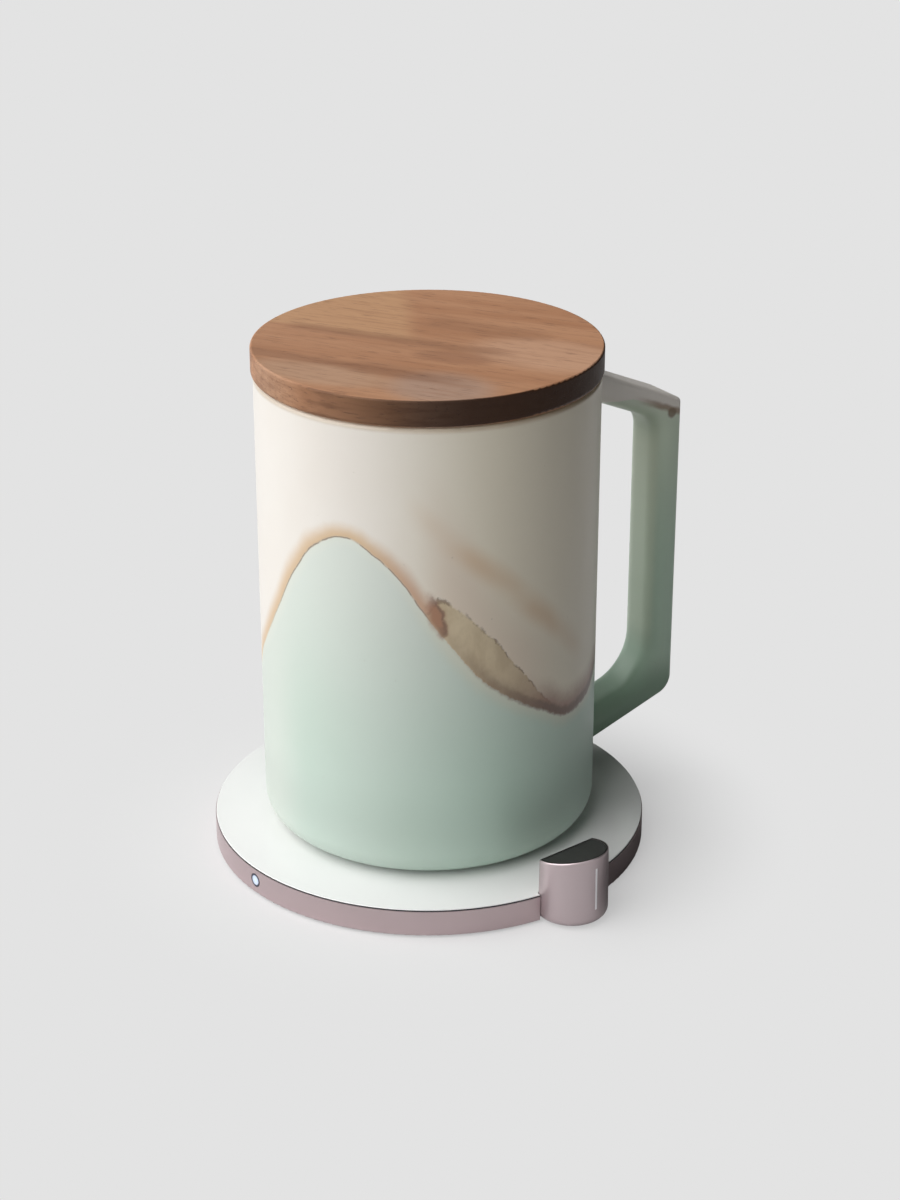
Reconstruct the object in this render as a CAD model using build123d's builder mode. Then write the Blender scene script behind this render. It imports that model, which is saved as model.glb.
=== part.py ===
from build123d import *
from math import cos, radians, sin, tan
import os

# Self-heating mug: a ceramic mug with a walnut lid, standing on a round induction pad.
# Millimetres, +Z up. The origin is the middle of the pad's foot, on the table. The handle is at +X.

os.makedirs("parts", exist_ok=True)

# Fits shared by all pieces
fit_gap = 0.1  # round pieces that are pressed or glued together
lift_gap = 0.3  # round pieces that are lifted out of one another

# Pad casing
pad_diameter = 105.0
table_gap = 0.5  # from the table to the metal rim
foot_diameter = 84.0
foot_thickness = 1.2
rim_height = 6.3
rim_wall = 1.6
rim_foot_round = 0.4
cover_thickness = 1.9
gasket_thickness = 0.3
plate_lip = 0.2  # the plate's edge above the gasket
plate_lip_setback = 0.2
plate_lip_round = 0.15
plate_spigot_depth = 1.9  # the plate's step inside the rim

# Screws of the pad
screw_diameter = 2.0
screw_head_diameter = 3.6
screw_head_height = 0.8
screw_length = 3.2
screw_gap = 0.05
lug_count = 4
lug_depth = 5.3
lug_width = 6.0
lug_height = 2.2
board_screw_diameter = 1.4
board_screw_head_diameter = 2.8
board_screw_head_height = 0.6
board_screw_reach = 0.6  # below the board
board_screw_count = 3
board_screw_margin = 15.0  # degrees from the socket and the post

# Coils, the same in the pad and in the mug
wire_width = 1.6
wire_height = 1.0
coil_pitch = 2.3
coil_inner_radius = 9.0
coil_half_turns = 16
ferrite_margin = 0.4
ferrite_thickness = 0.6
shield_thickness = 0.4
sensor_diameter = 2.4

# Electronics of the pad
board_thickness = 0.8
board_stand = 0.4
board_margin = 0.4  # to the lugs
board_coil_margin = 2.0  # to the coil
board_overrun = 10.0  # degrees past the socket and the post
board_boss_diameter = 4.0
chip_size = 5.0
chip_height = 1.0
chip_count = 4
chip_margin = 35.0  # degrees from the socket and the post
choke_diameter = 4.0
choke_height = 1.3
choke_count = 4
choke_margin = 30.0  # degrees from the socket and the post
choke_edge_gap = 0.4

# Lamp in the rim
lamp_diameter = 3.2
lamp_rise = 0.35  # above the rim's mid height
light_pipe_diameter = 2.0
led_width = 1.6
led_depth = 0.8
led_height = 0.8

# Power socket
socket_width = 8.9
socket_height = 3.1
socket_length = 7.8
socket_wall = 0.3
socket_setback = 0.3
tongue_width = 6.7
tongue_thickness = 0.7
tongue_length = 5.0

# Post
post_angle = -83.8
post_overhang = 0.2  # of the middle of the post's round side, past the pad's edge
post_foot_radius = 8.65
post_draft = 0.65  # degrees, of the round side
post_flat_inset = 2.2  # from the post's middle to its flat side
post_height = 15.9  # at the post's middle
post_top_slope = 11.8  # degrees, down towards the mug
post_wall = 1.5
post_corner_round = 0.5
post_foot_round = 2.0
post_top_round = 0.4
post_least_round = 0.3
post_notch_gap = 0.15  # to the plate and its gasket
ear_width = 3.6
ear_offset = 4.4
ear_screw_inset = 2.4  # from the flat side
wire_window_width = 4.0
key_border = 0.6
key_thickness = 1.4
key_recess = 0.1
touch_board_thickness = 1.0
touch_board_margin = 1.6  # to the post's wall
light_bar_width = 0.5
light_bar_height = 10.7
light_bar_rise = 4.1  # above the post's foot
light_bar_depth = 1.9  # behind the edge of the post's top
light_board_width = 4.0
light_board_thickness = 0.8

# Mug
mug_diameter = 80.0
mug_height = 111.5
mug_wall = 4.0
mug_floor = 4.0
mug_corner_round = 6.0
mug_lip_round = 1.2
cavity_corner_round = 5.0

# Handle
handle_width = 13.0
handle_thickness = 7.0
handle_reach = 29.4  # from the mug's wall
handle_top_drop = 5.85  # from the mug's rim
handle_top_slope = 23.7
handle_foot_rise = 4.85  # from the mug's underside
handle_foot_slope = 18.7
handle_top_round = 1.5
handle_foot_round = 5.0
grip_top_round = 6.0
grip_foot_round = 12.0
handle_edge_round = 1.1
grip_edge_round = 4.2
handle_root_depth = 2.5  # into the mug's wall
handle_root_blend = 2.0

# Heating base of the mug
mug_foot_stand = 0.7  # from the plate to the mug's underside
mug_foot_groove = 0.4
mug_foot_edge = 3.9  # from the ring to the edge of the base cover
mug_foot_width = 3.5
base_flange = 1.0
base_spigot = 0.8
base_seal_height = 1.0
base_spigot_margin = 1.0
chamber_margin = 0.9  # round the ferrite
seal_ledge_width = 2.0
receiver_board_bore = 16.0
receiver_chip_size = 4.0
receiver_chip_height = 1.2
receiver_chip_count = 6
blanket_thickness = 1.8
heater_thickness = 0.8

# Lid
lid_overhang = 0.5  # past the mug's wall
lid_thickness = 6.4
lid_top_round = 0.5
lid_under_round = 1.0
plug_depth = 7.0
plug_gap = 1.2
plug_edge_round = 1.0
groove_depth = 1.6
groove_height = 2.4
groove_rise = 2.2  # above the plug's end
seal_lip_round = 0.8

# Heights above the table
rim_bottom = table_gap
rim_top = rim_bottom + rim_height
rim_middle = (rim_bottom + rim_top) / 2
lamp_height = rim_middle + lamp_rise
screw_seat = foot_thickness
floor_top = rim_bottom + cover_thickness
gasket_top = rim_top + gasket_thickness
plate_top = gasket_top + plate_lip
plate_underside = gasket_top - plate_spigot_depth
shield_top = floor_top + shield_thickness
ferrite_top = shield_top + ferrite_thickness
coil_top = ferrite_top + wire_height
board_bottom = floor_top + board_stand
board_top = board_bottom + board_thickness
post_top = rim_bottom + post_height
post_floor = rim_bottom + post_wall
light_bar_bottom = rim_bottom + light_bar_rise
mug_under = plate_top + mug_foot_stand
mug_rim = mug_under + mug_height
base_cover_top = mug_under + base_flange + base_spigot
seal_ledge = mug_under + base_flange + base_seal_height
receiver_coil_top = base_cover_top + wire_height
receiver_ferrite_top = receiver_coil_top + ferrite_thickness
receiver_board_top = receiver_ferrite_top + board_thickness
blanket_bottom = receiver_board_top + receiver_chip_height
blanket_top = blanket_bottom + blanket_thickness
chamber_top = blanket_top + heater_thickness
cavity_floor = chamber_top + mug_floor
plug_end = mug_rim - plug_depth
groove_bottom = plug_end + groove_rise

# Radii from the pad's axis, which is also the mug's
pad_radius = pad_diameter / 2
rim_bore = pad_radius - rim_wall
lug_inner_radius = rim_bore - lug_depth
screw_circle = rim_bore - lug_depth / 2
ferrite_radius = coil_inner_radius + coil_half_turns * coil_pitch / 2 + wire_width / 2 + ferrite_margin
board_inner_radius = ferrite_radius + board_coil_margin
board_outer_radius = lug_inner_radius - board_margin
board_middle_radius = (board_inner_radius + board_outer_radius) / 2
post_distance = pad_radius + post_overhang
post_flat_radius = post_distance - post_flat_inset
mug_radius = mug_diameter / 2
mug_bore = mug_radius - mug_wall
chamber_radius = ferrite_radius + chamber_margin
seal_seat_radius = chamber_radius + seal_ledge_width
plug_radius = mug_bore - plug_gap

# The lamp is a quarter turn from the post, and the socket is opposite the post
half_ring = 180.0
lamp_angle = post_angle - half_ring / 2
socket_angle = post_angle - half_ring
lug_start = post_angle + half_ring / lug_count

ON_BASE = (Align.CENTER, Align.CENTER, Align.MIN)


def outward_plane(angle, radius, height):
    """A plane that faces away from the pad's axis, with its Y upwards."""
    outward = Vector(cos(radians(angle)), sin(radians(angle)), 0)
    along = Vector(-sin(radians(angle)), cos(radians(angle)), 0)
    return Plane(outward * radius + Vector(0, 0, height), x_dir=along, z_dir=outward)


def post_plane(height):
    """A level plane on the post's middle, with its X away from the pad's axis."""
    outward = Vector(cos(radians(post_angle)), sin(radians(post_angle)), 0)
    return Plane(outward * post_distance + Vector(0, 0, height), x_dir=outward, z_dir=(0, 0, 1))


def post_top_plane(depth):
    """A plane at a depth under the post's sloping top, which falls towards the mug."""
    level = post_plane(post_top)
    slope = radians(post_top_slope)
    upward = level.z_dir * cos(slope) - level.x_dir * sin(slope)
    return Plane(level.origin, x_dir=level.y_dir, z_dir=upward).offset(-depth)


def post_column(grow):
    """Adds the post's drafted round column to the current part, larger all round by grow."""
    column_height = post_height + post_foot_radius
    narrowing = column_height * tan(radians(post_draft))
    with Locations(post_plane(rim_bottom)):
        Cone(post_foot_radius + grow, post_foot_radius - narrowing + grow, column_height, align=ON_BASE)


def cut_post_flat(grow):
    """Cuts the post's flat side on the current part and rounds the two upright corners."""
    flat_plane = outward_plane(post_angle, post_flat_radius - grow, rim_middle)
    split(bisect_by=flat_plane, keep=Keep.TOP)
    flat_face = faces().sort_by_distance(flat_plane.origin)[0]
    upright_edges = flat_face.edges().filter_by(GeomType.LINE, reverse=True)
    fillet(upright_edges, max(post_corner_round + grow, post_least_round))


def countersunk_screw(grow, mode):
    """A screw, head down, at each current location, or with mode SUBTRACT the hole for it."""
    shank_radius = screw_diameter / 2 + grow
    Cone(screw_head_diameter / 2 + grow, shank_radius, screw_head_height, align=ON_BASE, mode=mode)
    Cylinder(shank_radius, screw_length + grow, align=ON_BASE, mode=mode)


def screw_hole():
    """The hole for a screw in the bottom cover, at each current location, open to the underside."""
    countersunk_screw(screw_gap, Mode.SUBTRACT)
    head_way = (Align.CENTER, Align.CENTER, Align.MAX)
    Cylinder(screw_head_diameter / 2 + screw_gap, screw_seat - rim_bottom, align=head_way, mode=Mode.SUBTRACT)


def ear_screw_places():
    """The post's two screws, on a plane of the post."""
    across = -post_flat_inset - ear_screw_inset
    return Locations((across, ear_offset), (across, -ear_offset))


def board_places(radius, count, margin):
    """Places along the driver board, spread evenly between the socket and the post."""
    return PolarLocations(radius, count, socket_angle + margin, half_ring - 2 * margin, endpoint=True)


def board_screw_places():
    """The screws that hold the driver board."""
    return board_places(board_middle_radius, board_screw_count, board_screw_margin)


def wind_spiral():
    """Draws the coil's turns in the current line, as half circles about two centres in turn."""
    for half_turn in range(coil_half_turns):
        side = half_turn % 2
        CenterArc(
            (side * coil_pitch / 2, 0),
            coil_inner_radius + half_turn * coil_pitch / 2,
            start_angle=180 * side,
            arc_size=180,
        )


def wire_plane(height):
    """The plane across the coil's wire at its inner end."""
    return Plane((coil_inner_radius, 0, height), x_dir=(1, 0, 0), z_dir=(0, 1, 0))


def round_corner(corner, radius):
    """Rounds the corner of the current sketch that is nearest to a point."""
    fillet(vertices().sort_by_distance(corner)[0], radius)


print("least gap between the coil's turns:", round(coil_pitch - wire_width, 3), "mm")

# Pad: the room that the casing leaves for the post, and the wider one in the gasket and the plate
with BuildPart() as post_room:
    post_column(fit_gap)
    cut_post_flat(fit_gap)

with BuildPart() as post_notch:
    post_column(post_notch_gap)
    cut_post_flat(post_notch_gap)

# Pad: the silicone foot, glued into a shallow recess of the cover
with BuildPart() as pad_foot:
    Cylinder(foot_diameter / 2, foot_thickness, align=ON_BASE)
pad_foot.part.label = "pad_foot"
export_step(pad_foot.part, "parts/pad_foot.step")

# Pad: the moulded bottom cover, with bosses for the board and a pocket for the socket
pilot_depth = board_screw_reach + screw_gap

with BuildPart() as bottom_cover:
    with Locations((0, 0, rim_bottom)):
        Cylinder(rim_bore - fit_gap, cover_thickness, align=ON_BASE)
        Cylinder(foot_diameter / 2 + fit_gap, foot_thickness - table_gap, align=ON_BASE, mode=Mode.SUBTRACT)
    with Locations((0, 0, floor_top)):
        with board_screw_places():
            Cylinder(board_boss_diameter / 2, board_stand, align=ON_BASE)
    with Locations((0, 0, board_bottom - pilot_depth)):
        with board_screw_places():
            Cylinder(board_screw_diameter / 2 + screw_gap, pilot_depth, align=ON_BASE, mode=Mode.SUBTRACT)
    with Locations((0, 0, screw_seat)):
        with PolarLocations(screw_circle, lug_count, lug_start):
            screw_hole()
    with Locations(post_plane(screw_seat)):
        with ear_screw_places():
            screw_hole()
    with BuildSketch(outward_plane(socket_angle, rim_bore, rim_middle)):
        SlotOverall(socket_width + 2 * fit_gap, socket_height + 2 * fit_gap)
    extrude(amount=-socket_length, mode=Mode.SUBTRACT)
    add(post_room.part, mode=Mode.SUBTRACT)
bottom_cover.part.label = "bottom_cover"
export_step(bottom_cover.part, "parts/bottom_cover.step")

with BuildPart() as cover_screws:
    with Locations((0, 0, screw_seat)):
        with PolarLocations(screw_circle, lug_count, lug_start):
            countersunk_screw(0, Mode.ADD)
cover_screws.part.label = "cover_screws"
export_step(cover_screws.part, "parts/cover_screws.step")

# Pad: the metal rim, with lugs for the cover screws, the lamp's hole and the socket's slot
with BuildPart() as pad_rim:
    with BuildSketch(Plane.XY.offset(rim_bottom)):
        Circle(pad_radius)
        Circle(rim_bore, mode=Mode.SUBTRACT)
    extrude(amount=rim_height)
    foot_edges = pad_rim.edges().group_by(Axis.Z)[0]
    fillet(foot_edges.sort_by(SortBy.RADIUS)[-1], rim_foot_round)
    with BuildSketch(Plane.XY.offset(floor_top)):
        with PolarLocations(lug_inner_radius, lug_count, lug_start):
            Rectangle(lug_depth + rim_wall / 2, lug_width, align=(Align.MIN, Align.CENTER))
        with PolarLocations(screw_circle, lug_count, lug_start):
            Circle(screw_diameter / 2 + screw_gap, mode=Mode.SUBTRACT)
    extrude(amount=lug_height)
    with BuildSketch(outward_plane(lamp_angle, rim_bore - fit_gap, lamp_height)):
        Circle(lamp_diameter / 2 + fit_gap)
    extrude(amount=2 * rim_wall, mode=Mode.SUBTRACT)
    with BuildSketch(outward_plane(socket_angle, rim_bore - rim_wall, rim_middle)):
        SlotOverall(socket_width + 2 * fit_gap, socket_height + 2 * fit_gap)
    extrude(amount=3 * rim_wall, mode=Mode.SUBTRACT)
    add(post_room.part, mode=Mode.SUBTRACT)
pad_rim.part.label = "pad_rim"
export_step(pad_rim.part, "parts/pad_rim.step")

# Pad: the black gasket and the white plate, both notched round the post
lip_radius = pad_radius - plate_lip_setback

with BuildPart() as plate_gasket:
    with BuildSketch(Plane.XY.offset(rim_top)):
        Circle(lip_radius)
        Circle(rim_bore, mode=Mode.SUBTRACT)
    extrude(amount=gasket_thickness)
    add(post_notch.part, mode=Mode.SUBTRACT)
plate_gasket.part.label = "plate_gasket"
export_step(plate_gasket.part, "parts/plate_gasket.step")

with BuildPart() as top_plate:
    with Locations((0, 0, gasket_top)):
        Cylinder(lip_radius, plate_lip, align=ON_BASE)
    with Locations((0, 0, plate_underside)):
        Cylinder(rim_bore - 2 * fit_gap, plate_spigot_depth, align=ON_BASE)
    add(post_notch.part, mode=Mode.SUBTRACT)
    fillet(top_plate.faces().sort_by(Axis.Z)[-1].edges(), plate_lip_round)
top_plate.part.label = "top_plate"
export_step(top_plate.part, "parts/top_plate.step")

# Pad: the sending coil on its ferrite and shield, with a pad up to the plate and a sensor in its middle
with BuildPart() as coil_shield:
    with Locations((0, 0, floor_top)):
        Cylinder(ferrite_radius, shield_thickness, align=ON_BASE)
coil_shield.part.label = "coil_shield"
export_step(coil_shield.part, "parts/coil_shield.step")

with BuildPart() as transmit_ferrite:
    with Locations((0, 0, shield_top)):
        Cylinder(ferrite_radius, ferrite_thickness, align=ON_BASE)
transmit_ferrite.part.label = "transmit_ferrite"
export_step(transmit_ferrite.part, "parts/transmit_ferrite.step")

with BuildPart() as transmit_coil:
    with BuildLine(Plane.XY.offset(ferrite_top + wire_height / 2)):
        wind_spiral()
    with BuildSketch(wire_plane(ferrite_top + wire_height / 2)):
        Rectangle(wire_width, wire_height)
    sweep()
transmit_coil.part.label = "transmit_coil"
export_step(transmit_coil.part, "parts/transmit_coil.step")

with BuildPart() as coil_pad:
    with Locations((0, 0, coil_top)):
        Cylinder(ferrite_radius, plate_underside - coil_top, align=ON_BASE)
coil_pad.part.label = "coil_pad"
export_step(coil_pad.part, "parts/coil_pad.step")

with BuildPart() as plate_sensor:
    with Locations((0, 0, ferrite_top)):
        Cylinder(sensor_diameter / 2, wire_height, align=ON_BASE)
plate_sensor.part.label = "plate_sensor"
export_step(plate_sensor.part, "parts/plate_sensor.step")

# Pad: the driver board, a part ring from the socket past the lamp to the post
board_start = socket_angle - board_overrun
board_span = half_ring + 2 * board_overrun
choke_circle = board_outer_radius - choke_edge_gap - choke_diameter / 2
socket_inner_radius = pad_radius - socket_setback - socket_length

with BuildPart() as driver_board:
    with BuildSketch(Plane.XY.offset(board_bottom)):
        with BuildLine():
            outer_edge = CenterArc((0, 0), board_outer_radius, board_start, board_span)
            inner_edge = CenterArc((0, 0), board_inner_radius, board_start, board_span)
            Line(outer_edge @ 0, inner_edge @ 0)
            Line(outer_edge @ 1, inner_edge @ 1)
        make_face()
        with board_screw_places():
            Circle(board_screw_diameter / 2 + screw_gap, mode=Mode.SUBTRACT)
        with PolarLocations(socket_inner_radius, 1, socket_angle):
            Rectangle(
                2 * (socket_length + fit_gap),
                socket_width + 2 * fit_gap,
                align=(Align.MIN, Align.CENTER),
                mode=Mode.SUBTRACT,
            )
    extrude(amount=board_thickness)
driver_board.part.label = "driver_board"
export_step(driver_board.part, "parts/driver_board.step")

with BuildPart() as driver_chips:
    with Locations((0, 0, board_top)):
        with board_places(board_middle_radius, chip_count, chip_margin):
            Box(chip_size, chip_size, chip_height, align=ON_BASE)
        with board_places(choke_circle, choke_count, choke_margin):
            Cylinder(choke_diameter / 2, choke_height, align=ON_BASE)
driver_chips.part.label = "driver_chips"
export_step(driver_chips.part, "parts/driver_chips.step")

with BuildPart() as board_screws:
    with Locations((0, 0, board_bottom - board_screw_reach)):
        with board_screw_places():
            Cylinder(board_screw_diameter / 2, board_screw_reach + board_thickness, align=ON_BASE)
    with Locations((0, 0, board_top)):
        with board_screw_places():
            Cylinder(board_screw_head_diameter / 2, board_screw_head_height, align=ON_BASE)
board_screws.part.label = "board_screws"
export_step(board_screws.part, "parts/board_screws.step")

# Pad: the lamp, a light on the board's edge with a lens that reaches out through the rim
with BuildPart() as status_led:
    with Locations((0, 0, board_top)):
        with PolarLocations(board_outer_radius - led_depth / 2, 1, lamp_angle):
            Box(led_depth, led_width, led_height, align=ON_BASE)
status_led.part.label = "status_led"
export_step(status_led.part, "parts/status_led.step")

with BuildPart() as status_lens:
    with BuildSketch(outward_plane(lamp_angle, rim_bore, lamp_height)):
        Circle(lamp_diameter / 2)
    extrude(amount=2 * rim_wall)
    with BuildSketch(outward_plane(lamp_angle, board_outer_radius + fit_gap, lamp_height)):
        Circle(light_pipe_diameter / 2)
    extrude(amount=rim_bore - board_outer_radius)
    Cylinder(pad_radius, 2 * rim_top, mode=Mode.INTERSECT)
status_lens.part.label = "status_lens"
export_step(status_lens.part, "parts/status_lens.step")

# Pad: the power socket, a drawn metal shell with its contact tongue
with BuildPart() as power_socket:
    with BuildSketch(outward_plane(socket_angle, socket_inner_radius, rim_middle)):
        SlotOverall(socket_width, socket_height)
    extrude(amount=socket_length)
    with BuildSketch(outward_plane(socket_angle, socket_inner_radius + socket_wall, rim_middle)):
        SlotOverall(socket_width - 2 * socket_wall, socket_height - 2 * socket_wall)
    extrude(amount=socket_length, mode=Mode.SUBTRACT)
power_socket.part.label = "power_socket"
export_step(power_socket.part, "parts/power_socket.step")

with BuildPart() as socket_tongue:
    with BuildSketch(outward_plane(socket_angle, socket_inner_radius + socket_wall, rim_middle)):
        Rectangle(tongue_width, tongue_thickness)
    extrude(amount=tongue_length)
socket_tongue.part.label = "socket_tongue"
export_step(socket_tongue.part, "parts/socket_tongue.step")

# Post: the hollow in its column, and the recess for the key in its sloping top
key_seat_depth = key_recess + key_thickness

with BuildPart() as post_hollow:
    post_column(-post_wall)
    cut_post_flat(-post_wall)
    split(bisect_by=post_plane(post_floor), keep=Keep.TOP)
    split(bisect_by=post_top_plane(key_seat_depth), keep=Keep.BOTTOM)

with BuildPart() as key_room:
    post_column(-key_border)
    cut_post_flat(-key_border)
    split(bisect_by=post_top_plane(key_seat_depth), keep=Keep.TOP)

# Post: a D-shaped metal column let into the rim, screwed down by two ears
ear_root = post_wall / 2 - post_flat_inset
ear_length = post_distance + ear_root - lug_inner_radius
light_board_face = post_foot_radius - post_height * tan(radians(post_draft)) - light_bar_depth

with BuildPart() as post_shell:
    post_column(0)
    fillet(post_shell.edges().sort_by(Axis.Z)[0], post_foot_round)
    cut_post_flat(0)
    split(bisect_by=post_top_plane(0), keep=Keep.BOTTOM)
    fillet(post_shell.faces().sort_by(Axis.Z)[-1].edges(), post_top_round)
    with BuildSketch(post_plane(floor_top)):
        with Locations((ear_root, ear_offset), (ear_root, -ear_offset)):
            Rectangle(ear_length, ear_width, align=(Align.MAX, Align.CENTER))
    extrude(amount=lug_height)
    add(post_hollow.part, mode=Mode.SUBTRACT)
    add(key_room.part, mode=Mode.SUBTRACT)
    with BuildSketch(post_plane(floor_top)):
        with ear_screw_places():
            Circle(screw_diameter / 2 + screw_gap)
        with Locations((-post_flat_inset, 0)):
            Rectangle(3 * post_wall, wire_window_width)
    extrude(amount=lug_height, mode=Mode.SUBTRACT)
    with BuildSketch(post_plane(light_bar_bottom)):
        with Locations((light_board_face, 0)):
            Rectangle(post_foot_radius, light_bar_width + 2 * screw_gap, align=(Align.MIN, Align.CENTER))
    extrude(amount=light_bar_height, mode=Mode.SUBTRACT)
post_shell.part.label = "post_shell"
export_step(post_shell.part, "parts/post_shell.step")

with BuildPart() as post_screws:
    with Locations(post_plane(screw_seat)):
        with ear_screw_places():
            countersunk_screw(0, Mode.ADD)
post_screws.part.label = "post_screws"
export_step(post_screws.part, "parts/post_screws.step")

# Post: the dark touch key in its top, with the sensor board glued under it
with BuildPart() as touch_key:
    post_column(-key_border - fit_gap)
    cut_post_flat(-key_border - fit_gap)
    split(bisect_by=post_top_plane(key_recess), keep=Keep.BOTTOM)
    split(bisect_by=post_top_plane(key_seat_depth), keep=Keep.TOP)
touch_key.part.label = "touch_key"
export_step(touch_key.part, "parts/touch_key.step")

with BuildPart() as touch_board:
    post_column(-post_wall - touch_board_margin)
    cut_post_flat(-post_wall - touch_board_margin)
    split(bisect_by=post_top_plane(key_seat_depth), keep=Keep.BOTTOM)
    split(bisect_by=post_top_plane(key_seat_depth + touch_board_thickness), keep=Keep.TOP)
touch_board.part.label = "touch_board"
export_step(touch_board.part, "parts/touch_board.step")

# Post: the light bar in its front, with the board of lights that stands behind it
with BuildPart() as light_bar:
    post_column(0)
    with Locations(post_plane(light_bar_bottom)):
        with Locations((light_board_face, 0, 0)):
            Box(
                post_foot_radius,
                light_bar_width,
                light_bar_height,
                align=(Align.MIN, Align.CENTER, Align.MIN),
                mode=Mode.INTERSECT,
            )
light_bar.part.label = "light_bar"
export_step(light_bar.part, "parts/light_bar.step")

with BuildPart() as light_board:
    with BuildSketch(post_plane(post_floor)):
        with Locations((light_board_face, 0)):
            Rectangle(light_board_thickness, light_board_width, align=(Align.MAX, Align.CENTER))
    extrude(amount=light_bar_bottom + light_bar_height - post_floor)
light_board.part.label = "light_board"
export_step(light_board.part, "parts/light_board.step")

# Mug: the handle's form, a folded strap with a flat outside and a rounded grip
handle_face = mug_radius + handle_reach
handle_root = mug_radius - handle_root_depth
grip_face = handle_face - handle_thickness
top_fall = tan(radians(handle_top_slope))
foot_climb = tan(radians(handle_foot_slope))


def handle_top(x, depth):
    """Height of the handle's sloping top at x, at a depth below its outside."""
    outside = mug_rim - handle_top_drop - (x - mug_radius) * top_fall
    return outside - depth / cos(radians(handle_top_slope))


def handle_foot(x, depth):
    """Height of the handle's sloping foot at x, at a depth above its outside."""
    outside = mug_under + handle_foot_rise + (x - mug_radius) * foot_climb
    return outside + depth / cos(radians(handle_foot_slope))


with BuildPart() as handle_blank:
    with BuildSketch(Plane.XZ):
        with BuildLine():
            Polyline(
                (handle_root, handle_top(handle_root, 0)),
                (handle_face, handle_top(handle_face, 0)),
                (handle_face, handle_foot(handle_face, 0)),
                (handle_root, handle_foot(handle_root, 0)),
                close=True,
            )
        make_face()
        round_corner((handle_face, handle_top(handle_face, 0)), handle_top_round)
        round_corner((handle_face, handle_foot(handle_face, 0)), handle_foot_round)
    extrude(amount=handle_width / 2, both=True)
    side_edges = handle_blank.faces().filter_by(Axis.Y).edges()
    fillet(side_edges.filter_by_position(Axis.X, mug_radius, handle_face), handle_edge_round)
    with BuildSketch(Plane.XZ):
        with BuildLine():
            Polyline(
                (0, handle_top(0, handle_thickness)),
                (grip_face, handle_top(grip_face, handle_thickness)),
                (grip_face, handle_foot(grip_face, handle_thickness)),
                (0, handle_foot(0, handle_thickness)),
                close=True,
            )
        make_face()
        round_corner((grip_face, handle_top(grip_face, handle_thickness)), grip_top_round)
        round_corner((grip_face, handle_foot(grip_face, handle_thickness)), grip_foot_round)
    extrude(amount=handle_width, both=True, mode=Mode.SUBTRACT)
    grip_edges = handle_blank.edges(Select.LAST).filter_by_position(Axis.X, mug_radius, handle_face)
    fillet(grip_edges.group_by(Axis.Y)[0] + grip_edges.group_by(Axis.Y)[-1], grip_edge_round)

# Mug: the ceramic cup and handle, one casting, with a chamber under its floor
with BuildPart() as mug_body:
    with BuildSketch(Plane.YZ):
        with BuildLine():
            Polyline(
                (seal_seat_radius, mug_under),
                (mug_radius, mug_under),
                (mug_radius, mug_rim),
                (mug_bore, mug_rim),
                (mug_bore, cavity_floor),
                (0, cavity_floor),
                (0, chamber_top),
                (chamber_radius, chamber_top),
                (chamber_radius, seal_ledge),
                (seal_seat_radius, seal_ledge),
                close=True,
            )
        make_face()
        round_corner((mug_radius, mug_under), mug_corner_round)
        round_corner((mug_radius, mug_rim), mug_lip_round)
        round_corner((mug_bore, mug_rim), mug_lip_round)
        round_corner((mug_bore, cavity_floor), cavity_corner_round)
    revolve(axis=Axis.Z)
    add(handle_blank.part)
    fillet(mug_body.edges(Select.NEW), handle_root_blend)
mug_body.part.label = "mug_body"
export_step(mug_body.part, "parts/mug_body.step")

# Mug: the stack in the chamber, from the heater down to the receiving coil
stack_radius = chamber_radius - lift_gap

with BuildPart() as heater_disc:
    with Locations((0, 0, blanket_top)):
        Cylinder(stack_radius, heater_thickness, align=ON_BASE)
heater_disc.part.label = "heater_disc"
export_step(heater_disc.part, "parts/heater_disc.step")

with BuildPart() as heat_blanket:
    with Locations((0, 0, blanket_bottom)):
        Cylinder(stack_radius, blanket_thickness, align=ON_BASE)
heat_blanket.part.label = "heat_blanket"
export_step(heat_blanket.part, "parts/heat_blanket.step")

with BuildPart() as receiver_board:
    with BuildSketch(Plane.XY.offset(receiver_ferrite_top)):
        Circle(ferrite_radius)
        Circle(receiver_board_bore / 2, mode=Mode.SUBTRACT)
    extrude(amount=board_thickness)
receiver_board.part.label = "receiver_board"
export_step(receiver_board.part, "parts/receiver_board.step")

with BuildPart() as receiver_chips:
    with Locations((0, 0, receiver_board_top)):
        with PolarLocations((receiver_board_bore / 2 + ferrite_radius) / 2, receiver_chip_count):
            Box(receiver_chip_size, receiver_chip_size, receiver_chip_height, align=ON_BASE)
receiver_chips.part.label = "receiver_chips"
export_step(receiver_chips.part, "parts/receiver_chips.step")

with BuildPart() as receiver_ferrite:
    with Locations((0, 0, receiver_coil_top)):
        Cylinder(ferrite_radius, ferrite_thickness, align=ON_BASE)
receiver_ferrite.part.label = "receiver_ferrite"
export_step(receiver_ferrite.part, "parts/receiver_ferrite.step")

with BuildPart() as receiver_coil:
    with BuildLine(Plane.XY.offset(base_cover_top + wire_height / 2)):
        wind_spiral()
    with BuildSketch(wire_plane(base_cover_top + wire_height / 2)):
        Rectangle(wire_width, wire_height)
    sweep()
receiver_coil.part.label = "receiver_coil"
export_step(receiver_coil.part, "parts/receiver_coil.step")

# Mug: the cover glued into the base, its seal, and the ring that stands on the plate
spigot_radius = chamber_radius - base_spigot_margin
mug_foot_radius = seal_seat_radius - fit_gap - mug_foot_edge

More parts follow.
